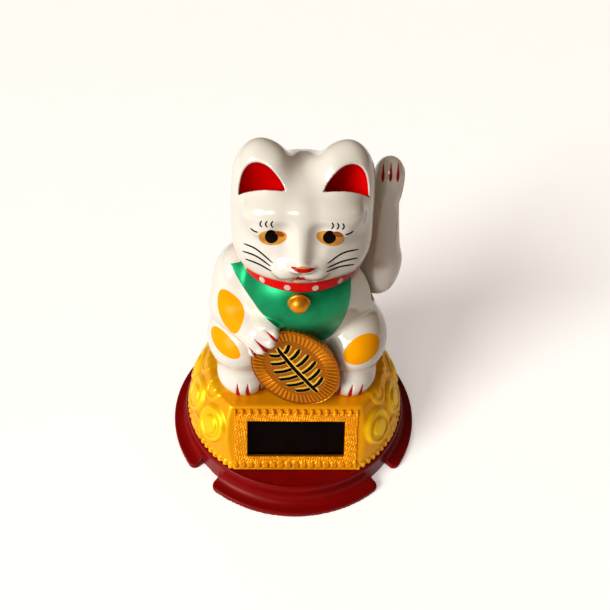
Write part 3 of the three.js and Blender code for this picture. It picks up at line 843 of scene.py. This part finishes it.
CAD_FINISHES = {
    "solar_cell": CELL, "circuit_board": BOARD, "driver_chip": CHIP, "storage_capacitor": CHIP,
    "coil_bobbin": NYLON, "drive_coil": COPPER, "cell_lead_red": LEAD_RED, "cell_lead_black": CHIP,
    "pivot_frame": NYLON, "arm_axle": STEEL, "pendulum_lever": NYLON, "counterweight": STEEL,
    "lever_magnet": MAGNET,
}

# ---- building the figure

VIEWED = (-0.04, -0.72, 0.69)  # marks are stencilled from in front and above


def dress_frame():
    """Gives every carried-over CAD node its own finish."""
    for name, node in frame["nodes"].items():
        finish = STEEL if "screw" in name else CAD_FINISHES.get(name)
        if finish:
            node.data.materials.clear()
            node.data.materials.append(finish)


def make_cat():
    front = halved("cat_front", cat_wall, -1, 1, PARTING_Y - SEAM, (-33, -29, 30.5), (33, -3.5, 127), 0.5,
                   "figure", WHITE)
    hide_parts("body_front_shell")
    rear = halved("cat_rear", cat_wall, 1, 1, PARTING_Y + SEAM, (-33, -5.5, 30.5), (33, 29, 127), 0.6,
                  "figure", WHITE)
    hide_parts("body_rear_shell")


def make_arm():
    inner = halved("arm_inner", arm_wall, -1, 0, ARM_SPLIT_X - ARM_SEAM, (18, -3, 58), (32, 17, 116), 0.5,
                   "arm", WHITE)
    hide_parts("arm_inner_half")
    outer = halved("arm_outer", arm_wall, 1, 0, ARM_SPLIT_X + ARM_SEAM, (29.5, -3, 58), (35, 17, 116), 0.5,
                   "arm", WHITE)
    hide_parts("arm_outer_half")
    make_claws("arm_claw", PAW_NOTCHES, raised_arm, "arm")


def make_claws(name, notches, field, body):
    """Red wedges painted in the notches between toes or fingers."""
    for number, (closed, opened, width) in enumerate(notches, 1):
        sheet = Stencil((np.array(closed) + opened) / 2, VIEWED)
        ends = [((np.array(end) - sheet.at) @ sheet.right, (np.array(end) - sheet.at) @ sheet.up)
                for end in (closed, opened)]
        share = np.linspace(0, 1, 21)
        line = np.array(ends[0]) + share[:, None] * (np.array(ends[1]) - ends[0])
        half = (0.05 + 0.5 * width * share) * np.sqrt(np.clip((1 - share) / 0.3, 0.05, 1))
        decal(f"{name}_{number}", sheet, field, ribbon(line, half, half), PAINT_CLAW,
              lift=0.16, sink=0.5, body=body)


def make_ear_linings():
    for side, word in ((-1, "left"), (1, "right")):
        def lining(p, side=side):
            return np.maximum(skull(p) + 0.45, -ear_scoop(p, side) - 0.3)
        low = (min(side * 2, side * 22), -19, 105)
        high = (max(side * 2, side * 22), -2, 126)
        skin(f"ear_lining_{word}", cat, lining, low, high, 0.5, "figure", "paint_red", PAINT_RED)


EYES = {"left": (-8.7, 105.5), "right": (7.5, 105.6)}


def make_eyes():
    for word, (x, z) in EYES.items():
        mirror = -1 if word == "left" else 1  # towards the cat's outer cheek
        sheet = Stencil((x, -20.9, z), VIEWED)
        s = -np.cos(np.linspace(0.06, math.pi - 0.06, 31))
        line = np.stack([s * 3.95, -0.35 * mirror * s], 1)
        round_end = np.sqrt(1 - s * s)
        lids = ribbon(line, round_end ** 0.7 * 1.55, round_end * 2.25)
        decal(f"eye_{word}", sheet, head, lids, PAINT_AMBER, lift=0.12, columns=13)
        # painted shadow: a brown patch where the brow shades the eye's upper right
        decal(f"eye_brow_shadow_{word}", sheet, head, oval((1.9, 0.75), 1.5, 0.75, -8),
              PAINT_BROW_SHADOW, lift=0.17)
        decal(f"pupil_{word}", sheet, head, oval((-0.35, -0.1), 1.8, 1.8, 0),
              PAINT_BLACK, lift=0.25)
        for number in range(3):
            at = np.array([-3.3 + 1.55 * number, 3.1]) if mirror < 0 else np.array([0.3 + 1.5 * number, 2.9])
            lash = [at + [0.25 * -mirror, -0.85], at + [-0.25 * -mirror, 0], at + [0.25 * -mirror, 0.85]]
            decal(f"lash_{word}_{number + 1}", sheet, head, streak(lash, 0.38),
                  PAINT_BLACK, lift=0.06, columns=5)
        corner = [(mirror * 4.1, 0.9), (mirror * 5.2, 1.25), (mirror * 6.4, 2.1)]
        decal(f"lash_outer_{word}", sheet, head, streak(corner, 0.36),
              PAINT_BLACK, lift=0.06, columns=5)


WHISKERS = {
    "left": ((-13.4, -18.8, 96.4), [[(-3.9, 3.6), (0.1, 1.9), (5.0, -1.8)],
                                    [(-4.3, 1.5), (0.1, 0.0), (4.4, -2.7)],
                                    [(-3.4, -0.7), (0.7, -2.1), (4.7, -4.1)]]),
    "right": ((11.4, -20.0, 95.9), [[(4.8, 3.9), (0.0, 2.3), (-4.3, -1.0)],
                                    [(4.8, 1.5), (0.0, 0.0), (-4.2, -2.1)],
                                    [(3.9, -0.4), (-0.6, -1.5), (-4.4, -3.3)]]),
}


def make_whiskers():
    for word, (at, lines) in WHISKERS.items():
        sheet = Stencil(at, VIEWED)
        for number, line in enumerate(lines, 1):
            decal(f"whisker_{word}_{number}", sheet, head, streak(line, 0.42, rows=25),
                  PAINT_BLACK, lift=0.06, columns=5)


def make_nose_and_mouth():
    sheet = Stencil((NOSE_X + 0.5, -26.4, 98.4), VIEWED)
    s = -np.cos(np.linspace(0.08, math.pi - 0.08, 25))
    bow = 1 - s * s
    smile = np.stack([s * 3.4, 0.55 * s * s], 1)
    decal("nose", sheet, head, ribbon(smile, bow * 0.5, bow ** 0.7 * 1.1),
          PAINT_CLAW, lift=0.1)
    ridge = np.stack([s * 2.1, 0.25 + 0.1 * s * s], 1)
    decal("nose_top", sheet, head, ribbon(ridge, bow * 0.45, bow * 0.35),
          PAINT_AMBER, lift=0.16)
    mouth = Stencil((NOSE_X, -25.0, 93.9), VIEWED)
    bow = [(-1.3, -0.4), (-0.7, 0), (0, -0.2), (0.7, 0), (1.3, -0.4)]
    decal("mouth", mouth, head, streak(bow, 0.5), PAINT_CLAW, lift=0.3, columns=5)


def make_bib():
    sheet = Stencil((-1, -17, 71), VIEWED)
    heights = np.linspace(-8.5, 19, 45)  # from its tip to under the collar
    left = spline([(7.0, -8.5), (1.5, -7.4), (-4.2, -5.4), (-10.4, -0.7), (-14.4, 4.1), (-18.4, 9.4),
                   (-21.6, 14.8), (-21.2, 15.4), (-18.6, 16.1), (-16, 19)], 400)
    right = spline([(8.0, -8.5), (10.5, -7.4), (13.3, -4.5), (15.3, -0.7), (16.2, 2.6), (16.7, 7),
                    (16.6, 12), (16.6, 19)], 400)
    edges = [np.stack([np.interp(heights, side[:, 1], side[:, 0]), heights], 1) for side in (left, right)]
    decal("bib", sheet, torso, edges, PAINT_GREEN, lift=0.5, columns=49, flat=22)


def make_collar():
    low = (-21, -21, COLLAR_Z[0] - 1.2)
    high = (21, 18, COLLAR_Z[1] + 1.2)
    moulded("collar", collar, low, high, 0.5, "figure", PAINT_RED)
    for number in range(COLLAR_DOTS):
        angle = 2 * math.pi * (number + 0.5) / COLLAR_DOTS - math.pi / 2
        way = np.array([math.cos(angle), math.sin(angle)])
        spot = COLLAR_AT + COLLAR_RADII * way
        sheet = Stencil((*spot, sum(COLLAR_Z) / 2 - 0.3), (way[0], way[1], 0.25))
        decal(f"collar_dot_{number + 1}", sheet, collar, oval((0, 0), 1.05, 1.05, 0, rows=17),
              PAINT_PINK, lift=0.22)


PATCHES = {
    "forearm": ((-22.2, -12.6, 67.8), (-0.42, -0.66, 0.6), (-0.3, 0), 7.4, 4.4, -50, 1.05),
    "left_thigh": ((-24.4, -14.6, 55.2), (-0.4, -0.7, 0.55), (-0.8, -0.4), 7.3, 3.3, -20, 1.0),
    "right_thigh": ((21.7, -16.7, 54.7), (0.15, -0.75, 0.6), (0, 0), 6.9, 4.7, 25, 1.0),
}


def make_patches():
    for word, (at, facing, middle, length, width, tilt, lopsided) in PATCHES.items():
        edges = oval(middle, length, width, tilt, lopsided, rows=41)
        decal(f"patch_{word}", Stencil(at, facing), torso, edges, PAINT_YELLOW,
              lift=0.1, columns=25, flat=12)


def make_bell():
    made = moulded("bell_round", bell, BELL_AT - 4.6, BELL_AT + 4.6, 0.28, "figure", GOLD_BELL)
    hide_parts("bell")


RIDGES = 56  # round the coin's border
COIN_SINK = 0.35  # of the flat middle under the rim


def coin_height(u, angle):
    """The coin's face over its flat middle, at share u of the way to the edge."""
    reach = np.hypot(COIN_HALF[0] * np.cos(angle), COIN_HALF[1] * np.sin(angle))
    from_edge = (1 - u) * reach
    ridge = np.sqrt(0.5 + 0.5 * np.cos(angle * RIDGES))
    border = ease(from_edge, 0.3, 1.2) * ease(from_edge, 5.4, 4.0)
    return 0.38 * border * ridge - COIN_SINK


def coin_point(u, angle, height):
    """A point on the coin's front from its share u of the radius, its angle and its height over the face."""
    flat = np.stack([COIN_HALF[0] * u * np.cos(angle), COIN_HALF[1] * u * np.sin(angle),
                     COIN_THICK / 2 + height], 1)
    return COIN_AT + flat @ COIN_AXES


def make_coin():
    """An oval coin: a reeded edge, a border of fine ridges and a flat middle."""
    turns = RIDGES * 8
    angle = np.arange(turns) / turns * 2 * math.pi
    shares = np.concatenate([np.linspace(0.02, 0.6, 8), np.linspace(0.62, 0.985, 40)])
    rows, heights = [], []
    for u in shares:
        height = coin_height(np.full(turns, u), angle)
        rows.append(coin_point(np.full(turns, u), angle, height))
        heights.append(height)
    reed = 0.5 + 0.5 * np.cos(angle * RIDGES)
    # the edge rows get low heights, so the material's painted shade darkens them
    for depth, inset in ((-0.12, 0.0), (-0.5, 0.0), (-1.4, 0.0), (-2.2, 0.0), (-2.55, 0.02)):
        fade = 0.25 if depth in (-0.12, -2.55) else 1.0
        rows.append(coin_point(1 - inset - 0.016 * fade * (1 - reed), angle, np.full(turns, depth)))
        heights.append(np.full(turns, depth * 0.1))
    points = np.concatenate(rows + [coin_point(np.zeros(1), np.zeros(1), np.full(1, -COIN_SINK)),
                                    coin_point(np.zeros(1), np.zeros(1), np.full(1, -COIN_THICK))])
    count = len(rows)
    grid = np.arange(count * turns).reshape(count, turns)
    ahead = np.roll(grid, -1, 1)
    quads = np.stack([grid[:-1], grid[1:], ahead[1:], ahead[:-1]], -1).reshape(-1, 4)
    front = np.stack([np.full(turns, count * turns), grid[0], ahead[0]], 1)
    back = np.stack([np.full(turns, count * turns + 1), ahead[-1], grid[-1]], 1)
    marks = {"height": np.concatenate(heights + [[-COIN_SINK, -COIN_SINK]])}
    made = piece("coin_oval", points, [quads, front, back], "figure", [GOLD_COIN], marks=marks)
    made.data.set_sharp_from_angle(angle=math.radians(50))
    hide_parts("coin")


def coin_face(p):
    """The plane of the coin's flat middle."""
    return (p - COIN_AT) @ COIN_AXES[2] - (COIN_THICK / 2 - COIN_SINK)


def make_sprig():
    """A generic leafy sprig standing up from the coin: gold ridges, painted brighter than the coin as a
    highlight, with black tops.
    """
    sheet = Stencil(COIN_AT, COIN_AXES[2])
    long_axis = np.array([COIN_AXES[1] @ sheet.right, COIN_AXES[1] @ sheet.up])
    wide_axis = np.array([COIN_AXES[0] @ sheet.right, COIN_AXES[0] @ sheet.up])

    def drawn(points):
        return [x * wide_axis + y * long_axis for x, y in points]

    strokes = [[(0.5, -13.2), (0.1, -6), (-0.2, 1), (0, 11.2)]]
    for y, reach in ((-9.6, 5.4), (-5.9, 6.6), (-2.2, 7.2), (1.5, 6.8), (5.2, 5.6), (8.6, 3.8)):
        for side in (-1, 1):
            strokes.append([(side * 0.7, y - 0.5), (side * 0.55 * reach, y + 0.1), (side * reach, y + 1.5)])
    for number, stroke in enumerate(strokes, 1):
        line = drawn(stroke)
        # the ridge's brighter gold is a painted highlight beside the black stroke
        decal(f"sprig_ridge_{number}", sheet, coin_face, streak(line, 2.3, rows=21, tail=0.7),
              GOLD_HIGHLIGHT, lift=0.45, columns=9)
        decal(f"sprig_{number}", sheet, coin_face, streak(line, 1.65, rows=21, tail=0.7),
              PAINT_BLACK, lift=0.7, columns=7)


def make_pedestal():
    reach = PEDESTAL_RADIUS + 1
    low, high = (-reach, -reach + 2, PEDESTAL_FOOT - 0.8), (reach, reach, PEDESTAL_TOP + 0.8)
    made = moulded("pedestal", pedestal, low, high, 0.5, "figure", GOLD, height=relief)
    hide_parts("pedestal_shell")
    low = FACET_AT - [WINDOW_HALF[0] + BEZEL + 1, 9, 13]
    high = FACET_AT + [WINDOW_HALF[0] + BEZEL + 1, 8, 12]
    moulded("window_frame", window_frame, low, high, 0.3, "figure", GOLD_GRAIN)


def make_base():
    reach = FLANGE_RADIUS + 1
    made = moulded("base", base, (-reach, -reach, -0.9), (reach, reach, BASE_HEIGHT + 1.2), 0.7,
                   "figure", RED_BASE)
    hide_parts("base_tray")


# ---- stage


def make_camera():
    pitch, turn, roll = (math.radians(a) for a in (43.82, -3.06, 2.77))
    ahead = np.array([-math.sin(turn) * math.cos(pitch), math.cos(turn) * math.cos(pitch), -math.sin(pitch)])
    level = np.array([math.cos(turn), math.sin(turn), 0])
    above = np.cross(level, ahead)
    right = level * math.cos(roll) + above * math.sin(roll)
    up = above * math.cos(roll) - level * math.sin(roll)
    data = bpy.data.cameras.new("camera")
    data.lens, data.sensor_width = 41.31, 36
    data.clip_start, data.clip_end = 0.01, 10
    camera = bpy.data.objects.new("camera", data)
    at = np.array([-6.97, -174.75, 227.02]) * MM
    camera.matrix_world = Matrix([[right[i], up[i], -ahead[i], at[i]] for i in range(3)] + [[0, 0, 0, 1]])
    bpy.context.scene.collection.objects.link(camera)
    bpy.context.scene.camera = camera


def make_floor():
    finish = material("pale_floor", (0.9, 0.9, 0.9), 0.8, tint=0.004, tint_size=60)
    shader = finish.node_tree.nodes["Principled BSDF"]
    shader.inputs["Emission Color"].default_value = (1, 1, 1, 1)
    shader.inputs["Emission Strength"].default_value = 0.38
    half = 3.0
    mesh = bpy.data.meshes.new("floor")
    corners = [(-half, -half, 0), (half, -half, 0), (half, half, 0), (-half, half, 0)]
    mesh.from_pydata(corners, [], [(0, 1, 2, 3)])
    mesh.materials.append(finish)
    floor = bpy.data.objects.new("floor", mesh)
    bpy.context.scene.collection.objects.link(floor)
    floor.visible_diffuse = False  # a white floor would fill the figure's shaded side


LAMP_DISTANCE = 0.6
FIGURE_MIDDLE = Vector((0, 0, 0.07))


def lamp(name, kind, way, power, colour, size):
    """A light shining from direction way onto the figure. size is metres, or degrees for a sun."""
    data = bpy.data.lights.new(name, kind)
    data.energy = power
    data.color = colour
    if kind == "SUN":
        data.angle = math.radians(size)
    else:
        data.shape, data.size = "DISK", size
    made = bpy.data.objects.new(name, data)
    way = Vector(way).normalized()
    made.location = FIGURE_MIDDLE + way * LAMP_DISTANCE
    made.rotation_mode = "QUATERNION"
    made.rotation_quaternion = way.to_track_quat("Z", "Y")
    bpy.context.scene.collection.objects.link(made)


def make_light():
    lamp("key", "SUN", (-0.72, -0.58, 0.48), 2.95, (1.0, 0.98, 0.93), 28)
    lamp("softbox", "AREA", (-0.4, -0.9, 0.8), 0.36, (1.0, 1.0, 0.98), 0.16)
    lamp("rim", "AREA", (0.9, -0.35, 0.55), 0.04, (1.0, 0.85, 0.7), 0.14)
    world = bpy.data.worlds.new("studio")
    world.use_nodes = True
    world.node_tree.nodes["Background"].inputs["Color"].default_value = (1.0, 0.74, 0.54, 1)
    world.node_tree.nodes["Background"].inputs["Strength"].default_value = 0.2
    bpy.context.scene.world = world
    bpy.context.scene.view_settings.view_transform = "Standard"
    bpy.context.scene.view_settings.gamma = 0.87
    bpy.context.scene.view_settings.exposure = 0.1


make_camera()
make_floor()
make_light()
dress_frame()
make_base()
make_pedestal()
make_cat()
make_arm()
make_ear_linings()
make_eyes()
make_whiskers()
make_nose_and_mouth()
make_bib()
make_collar()
make_patches()
make_claws("foot_claw", FOOT_NOTCHES, torso, "figure")
make_claws("paw_claw", COIN_NOTCHES, torso, "figure")
make_bell()
make_coin()
make_sprig()
